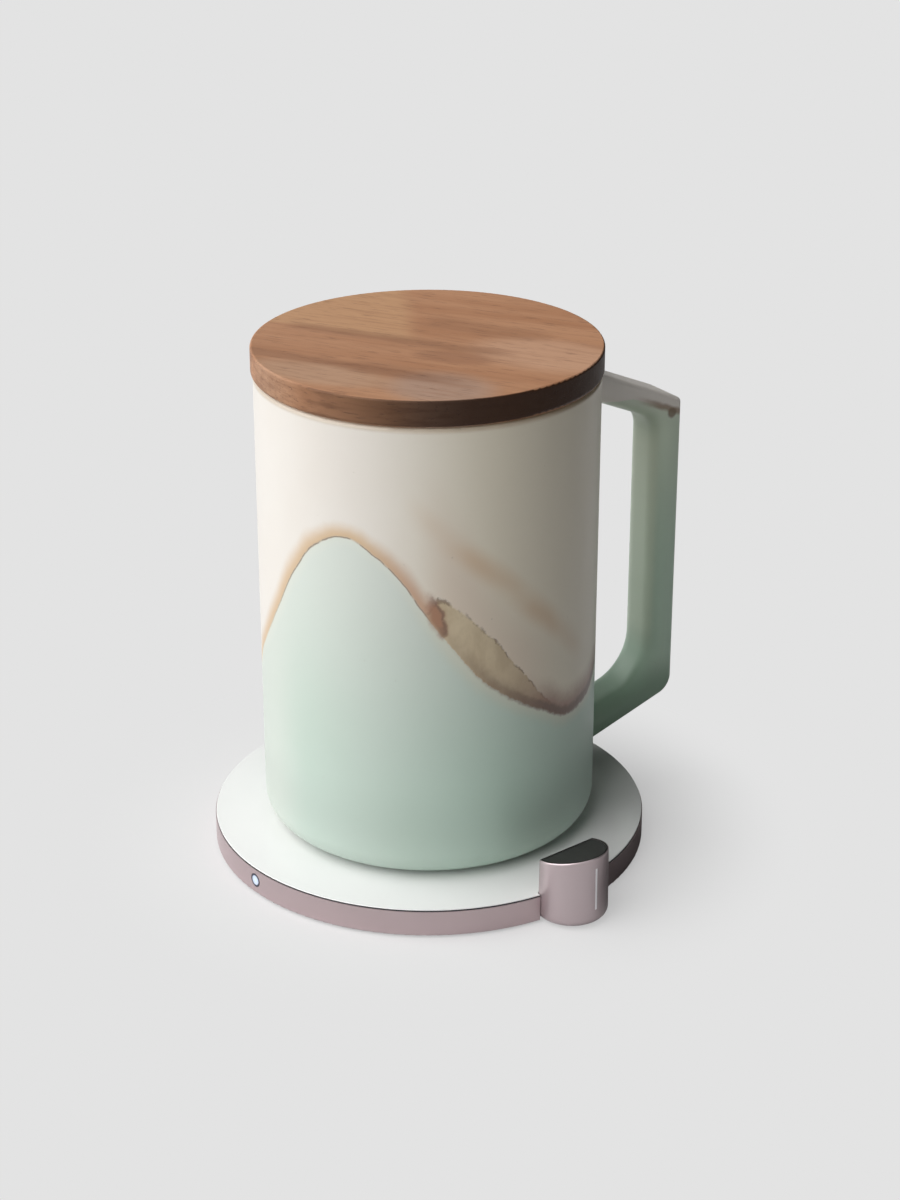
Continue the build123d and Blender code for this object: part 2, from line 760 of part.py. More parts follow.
with BuildPart() as base_cover:
    with Locations((0, 0, mug_under)):
        Cylinder(seal_seat_radius - fit_gap, base_flange, align=ON_BASE)
        Cylinder(spigot_radius, base_flange + base_spigot, align=ON_BASE)
    with BuildSketch(Plane.XY.offset(mug_under)):
        Circle(mug_foot_radius + fit_gap)
        Circle(mug_foot_radius - mug_foot_width - fit_gap, mode=Mode.SUBTRACT)
    extrude(amount=mug_foot_groove, mode=Mode.SUBTRACT)
base_cover.part.label = "base_cover"
export_step(base_cover.part, "parts/base_cover.step")

with BuildPart() as base_seal:
    with BuildSketch(Plane.XY.offset(mug_under + base_flange)):
        Circle(seal_seat_radius - fit_gap)
        Circle(spigot_radius + fit_gap, mode=Mode.SUBTRACT)
    extrude(amount=base_seal_height)
base_seal.part.label = "base_seal"
export_step(base_seal.part, "parts/base_seal.step")

with BuildPart() as mug_foot:
    with BuildSketch(Plane.XY.offset(plate_top)):
        Circle(mug_foot_radius)
        Circle(mug_foot_radius - mug_foot_width, mode=Mode.SUBTRACT)
    extrude(amount=mug_foot_stand + mug_foot_groove)
mug_foot.part.label = "mug_foot"
export_step(mug_foot.part, "parts/mug_foot.step")

# Lid: a turned walnut disc whose plug carries a silicone ring in a groove
lid_radius = mug_radius + lid_overhang
lid_top = mug_rim + lid_thickness
groove_top = groove_bottom + groove_height
groove_radius = plug_radius - groove_depth

with BuildPart() as lid:
    with BuildSketch(Plane.XZ):
        with BuildLine():
            Polyline(
                (0, plug_end),
                (plug_radius, plug_end),
                (plug_radius, groove_bottom),
                (groove_radius, groove_bottom),
                (groove_radius, groove_top),
                (plug_radius, groove_top),
                (plug_radius, mug_rim),
                (lid_radius, mug_rim),
                (lid_radius, lid_top),
                (0, lid_top),
                close=True,
            )
        make_face()
        round_corner((plug_radius, plug_end), plug_edge_round)
        round_corner((lid_radius, mug_rim), lid_under_round)
        round_corner((lid_radius, lid_top), lid_top_round)
    revolve(axis=Axis.Z)
lid.part.label = "lid"
export_step(lid.part, "parts/lid.step")

with BuildPart() as lid_seal:
    with BuildSketch(Plane.XZ):
        with BuildLine():
            Polyline(
                (groove_radius + fit_gap, groove_bottom + fit_gap),
                (mug_bore - lift_gap, groove_bottom + fit_gap),
                (mug_bore - lift_gap, groove_top - fit_gap),
                (groove_radius + fit_gap, groove_top - fit_gap),
                close=True,
            )
        make_face()
        round_corner((mug_bore - lift_gap, groove_bottom + fit_gap), seal_lip_round)
        round_corner((mug_bore - lift_gap, groove_top - fit_gap), seal_lip_round)
    revolve(axis=Axis.Z)
lid_seal.part.label = "lid_seal"
export_step(lid_seal.part, "parts/lid_seal.step")
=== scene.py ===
import math

import bmesh
import bpy
from mathutils import Matrix, Vector


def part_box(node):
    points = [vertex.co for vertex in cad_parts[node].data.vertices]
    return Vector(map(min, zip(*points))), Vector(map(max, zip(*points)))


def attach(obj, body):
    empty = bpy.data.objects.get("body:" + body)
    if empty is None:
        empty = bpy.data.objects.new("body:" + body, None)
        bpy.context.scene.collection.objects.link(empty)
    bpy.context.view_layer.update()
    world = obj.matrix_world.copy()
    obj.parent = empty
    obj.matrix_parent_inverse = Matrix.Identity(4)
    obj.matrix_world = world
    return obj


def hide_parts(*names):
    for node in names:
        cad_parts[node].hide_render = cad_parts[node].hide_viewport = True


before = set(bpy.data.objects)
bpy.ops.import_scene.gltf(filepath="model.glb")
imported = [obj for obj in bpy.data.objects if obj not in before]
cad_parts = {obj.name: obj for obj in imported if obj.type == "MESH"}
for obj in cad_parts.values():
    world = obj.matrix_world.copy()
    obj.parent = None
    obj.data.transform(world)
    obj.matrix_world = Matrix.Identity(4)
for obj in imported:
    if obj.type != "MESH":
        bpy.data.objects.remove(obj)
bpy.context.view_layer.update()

# Pad foot: the thin disc that the pad stands on, moulded in soft grey silicone and stuck under the
# cover. The mug's foot ring, the seal of its base and the lid's seal are of the same silicone.
number = "NodeSocketFloat"
gloss_drift = 0.12


def put(tree, kind, inputs=(), **settings):
    """Adds a node and fills its sockets with plain values, or with what other nodes give."""
    node = tree.nodes.new(kind)
    for name, value in settings.items():
        setattr(node, name, value)
    for name, value in dict(inputs).items():
        value = value.socket if isinstance(value, Spread) else value
        if isinstance(value, bpy.types.NodeSocket):
            tree.links.new(value, node.inputs[name])
        else:
            node.inputs[name].default_value = value
    return node


class Spread:
    """A number that changes over a surface, reckoned with as plain numbers are."""

    def __init__(self, tree, socket):
        self.tree = tree
        self.socket = socket

    def step(self, operation, first, second=0.0):
        """One sum on one or two values, as a node of this number's tree."""
        node = put(self.tree, "ShaderNodeMath", {0: first, 1: second}, operation=operation)
        return Spread(self.tree, node.outputs[0])

    def __add__(self, other):
        return self.step("ADD", self, other)

    def __sub__(self, other):
        return self.step("SUBTRACT", self, other)

    def __rsub__(self, other):
        return self.step("SUBTRACT", other, self)

    def __mul__(self, other):
        return self.step("MULTIPLY", self, other)

    def __truediv__(self, other):
        return self.step("DIVIDE", self, other)

    def __abs__(self):
        return self.step("ABSOLUTE", self)

    def root(self):
        return self.step("SQRT", self)

    def at_least(self, other):
        return self.step("MAXIMUM", self, other)

    def ease(self, low, high):
        """A mask that rises softly from 0 at low to 1 at high."""
        sockets = {"Value": self, "From Min": low, "From Max": high}
        node = put(self.tree, "ShaderNodeMapRange", sockets, interpolation_type="SMOOTHSTEP")
        return Spread(self.tree, node.outputs[0])

    def near(self, middle, half, soft):
        """A mask that is full within half of a value, and gone a soft width further out."""
        return abs(self - middle).ease(half + soft, half)

    def within(self, low, low_end, high_end, high):
        """A mask for the stretch between two values, soft at both ends."""
        return self.ease(low, low_end) * self.ease(high, high_end)

    def between(self, first, second):
        """This 0 to 1 value, spread from one value to another."""
        return self * (second - first) + first


def shade(tree, colour, amount):
    """A colour made lighter or darker."""
    return put(tree, "ShaderNodeVectorMath", {0: colour, "Scale": amount}, operation="SCALE").outputs[0]


def noise(tree, place, scale, detail=2.0, roughness=0.5):
    """A soft random value over the surface, 0 to 1."""
    sockets = {"Vector": place, "Scale": scale, "Detail": detail, "Roughness": roughness}
    return Spread(tree, put(tree, "ShaderNodeTexNoise", sockets).outputs[0])


def new_group(name, inputs, outputs):
    """An empty shader group with named sockets, and its two ends."""
    tree = bpy.data.node_groups.new(name, "ShaderNodeTree")
    for way, sockets in (("INPUT", inputs), ("OUTPUT", outputs)):
        for socket, kind in sockets.items():
            tree.interface.new_socket(socket, in_out=way, socket_type=kind)
    start = put(tree, "NodeGroupInput")
    end = put(tree, "NodeGroupOutput")
    return tree, start.outputs, end.inputs


def use(tree, group, inputs):
    """A shared group placed in a material: gives what it puts out, by name."""
    node = put(tree, "ShaderNodeGroup", inputs, node_tree=group)
    return {socket.name: Spread(tree, socket) for socket in node.outputs}


def new_finish(name, values=()):
    """A material with plain values on its shader; gives its tree, the shader's sockets and the places."""
    finish = bpy.data.materials.new(name)
    finish.use_nodes = True
    tree = finish.node_tree
    shader = tree.nodes["Principled BSDF"]
    for socket, value in dict(values).items():
        shader.inputs[socket].default_value = value
    place = put(tree, "ShaderNodeTexCoord").outputs["Object"]
    return finish, tree, shader.inputs, place


def coat(tree, skin, colour, roughness, height, depth):
    """Joins a finish to its shader: colour, roughness, and a height map with its depth in metres."""
    raised = put(tree, "ShaderNodeBump", {"Height": height, "Distance": depth, "Strength": 1.0})
    tree.links.new(colour, skin["Base Color"])
    tree.links.new(roughness.socket, skin["Roughness"])
    tree.links.new(raised.outputs["Normal"], skin["Normal"])


def dress(finish, *names):
    """Gives a finish to solids of the frame."""
    for name in names:
        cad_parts[name].material_slots[0].material = finish


skin_group, given, made = new_group(
    "skin_unevenness",
    {"Place": "NodeSocketVector", "Drift Scale": number, "Tooth Scale": number, "Tone": number,
     "Gloss": number, "Gloss Drift": number},
    {"Shade": number, "Roughness": number, "Tooth": number})
drift = noise(skin_group, given["Place"], given["Drift Scale"], detail=3.0) - 0.5
skin_group.links.new((drift * given["Tone"] + 1.0).socket, made["Shade"])
skin_group.links.new((drift * given["Gloss Drift"] + given["Gloss"]).socket, made["Roughness"])
skin_group.links.new(noise(skin_group, given["Place"], given["Tooth Scale"]).socket, made["Tooth"])


def even_skin(name, colour, gloss, tone_drift, drift_scale, tooth_scale, tooth_depth, values=()):
    """A finish of one colour, with the drift of tone and the fine tooth that its making leaves."""
    finish, tree, skin, place = new_finish(name, values)
    found = use(tree, skin_group, {"Place": place, "Drift Scale": drift_scale, "Tooth Scale": tooth_scale,
                                   "Tone": tone_drift, "Gloss": gloss, "Gloss Drift": gloss_drift})
    toned = shade(tree, colour, found["Shade"])
    coat(tree, skin, toned, found["Roughness"], found["Tooth"], tooth_depth)
    return finish


silicone = even_skin("silicone", (0.255, 0.250, 0.240), gloss=0.62, tone_drift=0.14, drift_scale=90,
                     tooth_scale=2600, tooth_depth=0.00004)
dress(silicone, "pad_foot", "mug_foot", "base_seal", "lid_seal")

# Bottom cover: the pad's floor, moulded in off-white plastic with a spark-eroded skin, with bosses for
# the electronics. The mug's base cover is of the same plastic, pressed into the ceramic over its seal.
casing = even_skin("casing", (0.63, 0.63, 0.61), gloss=0.52, tone_drift=0.06, drift_scale=60,
                   tooth_scale=1800, tooth_depth=0.00005)
dress(casing, "bottom_cover", "base_cover")

# Screws of the pad: six countersunk steel screws with a cross recess. They go through the cover, four
# into the rim's lugs and two into the ears of the post; smaller ones hold the board.
screws_low, screws_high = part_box("cover_screws")
screw_seat = screws_low.z
screw_length = screws_high.z - screws_low.z
head_radius = 0.0018
head_height = 0.0008
shank_radius = 0.0010
screw_sides = 40
recess_width = 0.0005
recess_length = 0.0020
recess_depth = 0.0006
recess_seed = 4
sharp_angle = math.radians(25)
lug_count = 4
lug_reach = 0.04825
first_lug = math.radians(-38.8)
ear_reach = 0.0481
ear_offset = 0.0044
post_angle = math.radians(-83.8)
bare_metal = {"Metallic": 1.0}


def new_tree(name, inputs):
    """A geometry tree with a named input for each size; gives its start and its end."""
    tree = bpy.data.node_groups.new(name, "GeometryNodeTree")
    tree.interface.new_socket("Geometry", in_out="INPUT", socket_type="NodeSocketGeometry")
    for socket, kind in inputs.items():
        tree.interface.new_socket(socket, in_out="INPUT", socket_type=kind)
    tree.interface.new_socket("Geometry", in_out="OUTPUT", socket_type="NodeSocketGeometry")
    return tree, put(tree, "NodeGroupInput").outputs, put(tree, "NodeGroupOutput").inputs


def close_tree(tree, instances, finish, end):
    """Ends a geometry tree: the copies become one mesh with its finish."""
    real = put(tree, "GeometryNodeRealizeInstances", {0: instances})
    dressed = put(tree, "GeometryNodeSetMaterial", {"Geometry": real.outputs[0], "Material": finish})
    tree.links.new(dressed.outputs[0], end[0])


def grow(name, points, tree, sizes):
    """Runs a geometry tree on a set of points and gives the result as a plain mesh object."""
    seeds = bpy.data.meshes.new(name + "_points")
    seeds.from_pydata(points, [], [])
    piece = bpy.data.objects.new(name, seeds)
    bpy.context.collection.objects.link(piece)
    maker = piece.modifiers.new("maker", "NODES")
    maker.node_group = tree
    for socket in tree.interface.items_tree:
        if socket.name in sizes:
            maker[socket.identifier] = sizes[socket.name]
    graph = bpy.context.evaluated_depsgraph_get()
    mesh = bpy.data.meshes.new_from_object(piece.evaluated_get(graph), depsgraph=graph)
    piece.modifiers.remove(maker)
    piece.data = mesh
    mesh.name = name
    bpy.data.meshes.remove(seeds)
    return piece


screw_tree, given, end = new_tree("countersunk_screws", {
    "Sides": "NodeSocketInt", "Head Radius": number, "Head Height": number, "Shank Radius": number,
    "Shank Length": number, "Recess Width": number, "Recess Length": number, "Recess Depth": number,
    "Seed": "NodeSocketInt", "Finish": "NodeSocketMaterial"})
head = put(screw_tree, "GeometryNodeMeshCone", {
    "Vertices": given["Sides"], "Radius Bottom": given["Head Radius"], "Radius Top": given["Shank Radius"],
    "Depth": given["Head Height"]})
shank = put(screw_tree, "GeometryNodeMeshCylinder", {
    "Vertices": given["Sides"], "Radius": given["Shank Radius"], "Depth": given["Shank Length"]})
half = put(screw_tree, "ShaderNodeMath", {0: given["Shank Length"], 1: 0.5}, operation="MULTIPLY")
middle = put(screw_tree, "ShaderNodeMath", {0: half.outputs[0], 1: given["Head Height"]}, operation="ADD")
shank_at = put(screw_tree, "ShaderNodeCombineXYZ", {"Z": middle.outputs[0]})
shank = put(screw_tree, "GeometryNodeTransform", {
    "Geometry": shank.outputs[0], "Translation": shank_at.outputs[0]})
body = put(screw_tree, "GeometryNodeMeshBoolean", operation="UNION")
for piece in (head, shank):
    screw_tree.links.new(piece.outputs[0], body.inputs["Mesh 2"])
deep = put(screw_tree, "ShaderNodeMath", {0: given["Recess Depth"], 1: 2.0}, operation="MULTIPLY")
cut = put(screw_tree, "GeometryNodeMeshBoolean", {"Mesh 1": body.outputs[0]}, operation="DIFFERENCE")
for wide, long in (("Recess Width", "Recess Length"), ("Recess Length", "Recess Width")):
    size = put(screw_tree, "ShaderNodeCombineXYZ", {
        "X": given[wide], "Y": given[long], "Z": deep.outputs[0]})
    bar = put(screw_tree, "GeometryNodeMeshCube", {"Size": size.outputs[0]})
    screw_tree.links.new(bar.outputs[0], cut.inputs["Mesh 2"])
turned = put(screw_tree, "FunctionNodeRandomValue", {
    0: (0, 0, 0), 1: (0, 0, math.pi), "Seed": given["Seed"]}, data_type="FLOAT_VECTOR")
screws = put(screw_tree, "GeometryNodeInstanceOnPoints", {
    "Points": given["Geometry"], "Instance": cut.outputs[0], "Rotation": turned.outputs[0]})
close_tree(screw_tree, screws.outputs[0], given["Finish"], end)

steel = even_skin("steel", (0.55, 0.55, 0.56), gloss=0.36, tone_drift=0.12, drift_scale=300,
                  tooth_scale=3000, tooth_depth=0.00001, values=bare_metal)
screw_places = []
for lug in range(lug_count):
    angle = first_lug + lug * 2 * math.pi / lug_count
    screw_places.append((lug_reach * math.cos(angle), lug_reach * math.sin(angle), screw_seat))
for side in (-ear_offset, ear_offset):
    screw_places.append((ear_reach * math.cos(post_angle) - side * math.sin(post_angle),
                         ear_reach * math.sin(post_angle) + side * math.cos(post_angle), screw_seat))
pad_screws = grow("pad_screws", screw_places, screw_tree, {
    "Sides": screw_sides, "Head Radius": head_radius, "Head Height": head_height,
    "Shank Radius": shank_radius, "Shank Length": screw_length - head_height, "Recess Width": recess_width,
    "Recess Length": recess_length, "Recess Depth": recess_depth, "Seed": recess_seed, "Finish": steel})
pad_screws.data.shade_smooth()
pad_screws.data.set_sharp_from_angle(angle=sharp_angle)
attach(pad_screws, "pad")
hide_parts("cover_screws", "post_screws")
dress(steel, "board_screws")

# Boards and chips: green glass-fibre boards with black moulded chips and chokes soldered on. The
# driver board is screwed to the cover's bosses; the mug's own board lies in its base.
circuit_board = even_skin("circuit_board", (0.012, 0.089, 0.042), gloss=0.40, tone_drift=0.16,
                          drift_scale=220, tooth_scale=1800, tooth_depth=0.00002)
dress(circuit_board, "driver_board", "touch_board", "light_board", "receiver_board")
chip_black = even_skin("chip_black", (0.016, 0.016, 0.018), gloss=0.50, tone_drift=0.12, drift_scale=300,
                       tooth_scale=2400, tooth_depth=0.00003)
dress(chip_black, "driver_chips", "receiver_chips", "plate_sensor")

# Power socket: a flat shell drawn from steel, soldered to the board, with a black tongue inside it.
# A row of gilded contacts lies on each face of the tongue.
tongue_low, tongue_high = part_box("socket_tongue")
socket_angle = math.radians(96.2)
contact_reach = 0.0474
contact_count = 12
contact_pitch = 0.0005
contact_strip = (0.0036, 0.00026, 0.00008)

contact_tree, given, end = new_tree("contact_rows", {
    "Count": "NodeSocketInt", "Pitch": number, "Strip": "NodeSocketVector", "Row Gap": number,
    "Finish": "NodeSocketMaterial"})
strip = put(contact_tree, "GeometryNodeMeshCube", {"Size": given["Strip"]})
pitch = put(contact_tree, "ShaderNodeCombineXYZ", {"Y": given["Pitch"]})
row = put(contact_tree, "GeometryNodeMeshLine", {"Count": given["Count"], "Offset": pitch.outputs[0]})
strips = put(contact_tree, "GeometryNodeInstanceOnPoints", {
    "Points": row.outputs[0], "Instance": strip.outputs[0]})
gap = put(contact_tree, "ShaderNodeCombineXYZ", {"Z": given["Row Gap"]})
lower = put(contact_tree, "GeometryNodeTransform", {
    "Geometry": strips.outputs[0], "Translation": gap.outputs[0]})
rows = put(contact_tree, "GeometryNodeJoinGeometry")
for piece in (strips, lower):
    contact_tree.links.new(piece.outputs[0], rows.inputs[0])
close_tree(contact_tree, rows.outputs[0], given["Finish"], end)

gilded = even_skin("gilded", (0.72, 0.49, 0.20), gloss=0.36, tone_drift=0.10, drift_scale=400,
                   tooth_scale=3500, tooth_depth=0.000008, values=bare_metal)
socket_contacts = grow("socket_contacts", [(0, 0, 0)], contact_tree, {
    "Count": contact_count, "Pitch": contact_pitch, "Strip": contact_strip,
    "Row Gap": tongue_low.z - tongue_high.z, "Finish": gilded})
first_contact = Vector((contact_reach, -contact_pitch * (contact_count - 1) / 2, tongue_high.z))
socket_contacts.data.transform(Matrix.Rotation(socket_angle, 4, "Z") @ Matrix.Translation(first_contact))
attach(socket_contacts, "pad")
dress(steel, "power_socket")
dress(chip_black, "socket_tongue")

# Coil stack: a thin shield, a ferrite disc, a flat winding of copper and an insulating pad, glued
# in layers under the plate. The mug's base holds the matching coil that takes up the power.
shield_metal = even_skin("shield_metal", (0.46, 0.47, 0.48), gloss=0.35, tone_drift=0.08, drift_scale=120,
                         tooth_scale=2500, tooth_depth=0.00001, values=bare_metal)
dress(shield_metal, "coil_shield")
ferrite = even_skin("ferrite", (0.042, 0.041, 0.042), gloss=0.50, tone_drift=0.18, drift_scale=250,
                    tooth_scale=1500, tooth_depth=0.00003)
dress(ferrite, "transmit_ferrite", "receiver_ferrite")
copper = even_skin("copper", (0.51, 0.162, 0.061), gloss=0.36, tone_drift=0.18, drift_scale=200,
                   tooth_scale=3500, tooth_depth=0.00002, values=bare_metal)
dress(copper, "transmit_coil", "receiver_coil")
insulation = even_skin("insulation", (0.67, 0.62, 0.51), gloss=0.85, tone_drift=0.12, drift_scale=150,
                       tooth_scale=1400, tooth_depth=0.00008)
dress(insulation, "coil_pad", "heat_blanket")

# Rim: the pad's ring wall, turned from aluminium, blasted with fine beads and anodised in a dusty
# mauve. Lugs inside it take the cover's screws; the lamp and the socket look out through it.
anodised = {"Metallic": 0.80, "Specular IOR Level": 0.35}
bead_drift = {"tone_drift": 0.08, "drift_scale": 45, "tooth_scale": 5200, "tooth_depth": 0.000012}
mauve_metal = even_skin("mauve_metal", (0.478, 0.384, 0.394), gloss=0.36, values=anodised, **bead_drift)
dress(mauve_metal, "pad_rim")

# Lamp: a clear light pipe that reaches out through the rim, blue-white in its lit middle and dark
# at its edge, where it sits in its hole; a small lamp on the board shines into it.
lens_low, lens_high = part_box("status_lens")
lamp_height = (lens_low.z + lens_high.z) / 2
lamp_angle = math.radians(-173.8)
lit_radius = 0.00110
dark_radius = 0.00130
glow_core = 0.0004
glow_radius = 0.00114
lens_dark = (0.020, 0.026, 0.055, 1)
lens_lit = (0.60, 0.69, 0.84, 1)
lens_glow = (0.38, 0.46, 0.74, 1)
no_glow = (0, 0, 0, 1)


def lay(amount, under, over):
    """One colour laid over another by a mask."""
    mixed = put(amount.tree, "ShaderNodeMix", {0: amount, 6: under, 7: over}, data_type="RGBA")
    return mixed.outputs[2]


def axes(tree, place):
    """The three numbers of a place."""
    return [Spread(tree, socket) for socket in put(tree, "ShaderNodeSeparateXYZ", {0: place}).outputs]


lamp_lens, tree, skin, place = new_finish("lamp_lens", {
    "Specular IOR Level": 0.5, "Emission Strength": 0.36})
x, y, z = axes(tree, place)
aside = y * math.cos(lamp_angle) - x * math.sin(lamp_angle)
above = z - lamp_height
off_axis = (aside * aside + above * above).root()
lamp_colour = lay(off_axis.ease(dark_radius, lit_radius), lens_dark, lens_lit)
lens_gloss = noise(tree, place, 900.0).between(0.30, 0.40)
coat(tree, skin, lamp_colour, lens_gloss, noise(tree, place, 2600.0), depth=0.000006)
glowing = lay(off_axis.ease(glow_radius, glow_core), no_glow, lens_glow)
tree.links.new(glowing, skin["Emission Color"])
dress(lamp_lens, "status_lens")
lamp_white = even_skin("lamp_white", (0.67, 0.72, 0.80), gloss=0.36, tone_drift=0.06, drift_scale=300,
                       tooth_scale=2600, tooth_depth=0.00001)
dress(lamp_white, "status_led")

# Gasket: the black rubber seal that is pressed between rim and plate, and shows as a dark seam.
# It keeps a spilled drink out of the pad.
black_rubber = even_skin("black_rubber", (0.013, 0.013, 0.015), gloss=0.60, tone_drift=0.12, drift_scale=200,
                         tooth_scale=2600, tooth_depth=0.00003)
dress(black_rubber, "plate_gasket")

# Top plate: the white plate that the mug stands on, moulded smooth and glossy, with a spigot that
# is pressed into the rim. Faint rubbed rings show where the mug is set down.
rubbed_reach = 0.0375
white_bright = (0.86, 0.86, 0.85, 1)
white_dull = (0.84, 0.845, 0.835, 1)
white_rubbed = (0.74, 0.74, 0.72, 1)
white_plate, tree, skin, place = new_finish("white_plate", {"Specular IOR Level": 0.5})
x, y = axes(tree, place)[:2]
reach = (x * x + y * y).root()
rubbed = noise(tree, place, 55.0, detail=3.0).ease(0.35, 0.7) * reach.near(rubbed_reach, 0.001, 0.004)
white = lay(noise(tree, place, 30.0).ease(0.3, 0.7), white_bright, white_dull)
white = lay(rubbed * 0.25, white, white_rubbed)
plate_gloss = noise(tree, place, 40.0).between(0.11, 0.17) + rubbed * 0.08
coat(tree, skin, white, plate_gloss, noise(tree, place, 900.0), depth=0.000004)
dress(white_plate, "top_plate")

# Post: a D-shaped column of mauve metal, a shade paler than the rim, screwed on from below and flat
# towards the mug. The key in its dark top senses a finger; a light bar is let into its round side.
post_distance = 0.0527
post_top = 0.0164
top_slope = math.tan(math.radians(11.8))
print_depth = 0.00004
print_fade = 0.00009
post_mauve = (0.490, 0.410, 0.424)
key_black = (0.030, 0.029, 0.028)
post_metal, tree, skin, place = new_finish("post_metal", anodised)
x, y, z = axes(tree, place)
outward = x * math.cos(post_angle) + y * math.sin(post_angle)
under_top = (outward - post_distance) * top_slope + post_top - z
found = use(tree, skin_group, {
    "Place": place, "Drift Scale": bead_drift["drift_scale"], "Tooth Scale": bead_drift["tooth_scale"],
    "Tone": bead_drift["tone_drift"], "Gloss": 0.35, "Gloss Drift": 0.10})
printed = under_top.ease(print_fade, print_depth)
post_colour = lay(printed, shade(tree, post_mauve, found["Shade"]), (*key_black, 1))
coat(tree, skin, post_colour, found["Roughness"], found["Tooth"], bead_drift["tooth_depth"])
dress(post_metal, "post_shell")
dark_key = even_skin("dark_key", key_black, gloss=0.42, tone_drift=0.14, drift_scale=160, tooth_scale=2600,
                     tooth_depth=0.00002, values={"Specular IOR Level": 0.45})
dress(dark_key, "touch_key")
# The light bar is shown unlit; its faint glow is painted light that brightens its pale line.
painted_glow = {"Emission Color": (0.80, 0.79, 0.82, 1), "Emission Strength": 0.20}
light_line = even_skin("light_line", (0.80, 0.79, 0.80), gloss=0.36, tone_drift=0.06, drift_scale=300,
                       tooth_scale=2600, tooth_depth=0.00001, values=painted_glow)
dress(light_line, "light_bar")

# Heater: a pressed metal disc bonded under the cup's floor, over the insulating blanket.
# It takes its power from the mug's own coil and board.
heater_metal = even_skin("heater_metal", (0.40, 0.39, 0.37), gloss=0.35, tone_drift=0.12, drift_scale=160,
                         tooth_scale=2400, tooth_depth=0.00001, values=bare_metal)
dress(heater_metal, "heater_disc")

# Mug body: slip-cast stoneware with its handle, glazed twice: dipped in mint, then poured with
# cream from the rim. Where the cream thins out over the mint, iron breaks through in tan and brown.
mug_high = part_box("mug_body")[1]
wall_radius = mug_high.y
lip_height = mug_high.z
girth = 2 * math.pi * wall_radius

# The pour's edge, and over it the patch's upper edge, in degrees round the wall and millimetres.
hill_full = 120
hill_points = [(0, 66), (40, 74), (80, 61), (120, 46), (145, 44.5), (161, 54), (176, 66.8), (190, 82),
               (200, 89.6), (210, 92.3), (219, 89.6), (227, 84.9), (236, 76.2), (247, 65.6), (257, 57.4),
               (268, 51.6), (280, 46.9), (290, 43.5), (300, 43.6), (311, 45.6), (335, 57), (360, 66)]
patch_full = 24
patch_points = [(0, 0), (235, 0), (238, 2.5), (241, 8), (247, 10.8), (256, 12.4), (264, 9.8), (271, 7.2),
                (277, 3.9), (285, 1.2), (292, 0), (360, 0)]


def line_round_wall(name, points, full):
    """A group that gives a line's height in metres for a turn round the wall; full is its scale in mm."""
    tree, given, made = new_group(name, {"Turn": number}, {"Height": number})
    bend = put(tree, "ShaderNodeFloatCurve", {"Value": given["Turn"]})
    curve = bend.mapping.curves[0]
    while len(curve.points) < len(points):
        curve.points.new(0.5, 0.5)
    for spot, (angle, height) in zip(curve.points, points):
        spot.location = (angle / 360, height / full)
    bend.mapping.update()
    tree.links.new((Spread(tree, bend.outputs[0]) * (full / 1000)).socket, made["Height"])
    return tree


def stretch(tree, place, factors):
    """A place drawn out or squeezed along its axes."""
    return put(tree, "ShaderNodeVectorMath", {0: place, 1: factors}, operation="MULTIPLY").outputs[0]


hill_line = line_round_wall("hill_line", hill_points, hill_full)
patch_line = line_round_wall("patch_line", patch_points, patch_full)

glaze, tree, skin, place = new_finish("glaze", {"Specular IOR Level": 0.5})
x, y, z = axes(tree, place)
reach = (x * x + y * y).root()
turn = x.step("ARCTAN2", y * -1.0, x * -1.0) / (2 * math.pi) + 0.5
degrees = turn * 360.0
cloud = noise(tree, place, 26.0, detail=3.0)
fine = noise(tree, place, 160.0, detail=4.0)
wander = (noise(tree, place, 420.0, detail=3.0) - 0.5) * 0.0008
height = z + wander

# How far a point lies over the pour's edge, square to that edge.
turn_step = 0.004
before, here, after = [use(tree, hill_line, {"Turn": turn + shift})["Height"]
                       for shift in (-turn_step, 0.0, turn_step)]
slope = (after - before) / (2 * turn_step * girth)
lean = (slope * slope + 1.0).root()
wall_rise = (height - here) / lean

# On the handle the pour ends at a slanting line near its outer top corner; the cup's inside is all
# cream. On the right flank the edge is ragged.
arm_start = 0.0545
arm_fall = 0.415
arm_line_at_axis = 0.1259
arm_square = 0.92
cup_floor = 0.0185
full_cream = 0.04
arm_line = arm_line_at_axis - x.at_least(arm_start) * arm_fall
arm_rise = (height - arm_line) * arm_square
on_arm = reach.ease(wall_radius + 0.0002, wall_radius + 0.0009)
inside = reach.ease(wall_radius - 0.0012, wall_radius - 0.0020) * z.ease(cup_floor, cup_floor + 0.001)
on_wall = (1.0 - on_arm) * (1.0 - inside)
rise = wall_rise + on_arm * (arm_rise - wall_rise)
rise = rise + inside * (full_cream - rise)
ragged = (noise(tree, place, 650.0, detail=4.0, roughness=0.65) - 0.5) * 0.0024
torn_rise = wall_rise + ragged * 0.5 * degrees.ease(236, 252)
rise = rise + ragged * 0.5 * degrees.within(236, 252, 312, 330) * on_wall

# The cream, yellower on the right, where the yellow is a painted warm tint of the shade on that side.
cream_pale = (0.828, 0.788, 0.733, 1)
cream_warm = (0.805, 0.757, 0.695, 1)
cream_painted_warm_shade = (0.80, 0.730, 0.570, 1)
clouded = cloud.ease(0.35, 0.7)
cream = lay(clouded, cream_pale, cream_warm)
cream = lay(degrees.within(205, 265, 310, 350) * 0.8, cream, cream_painted_warm_shade)
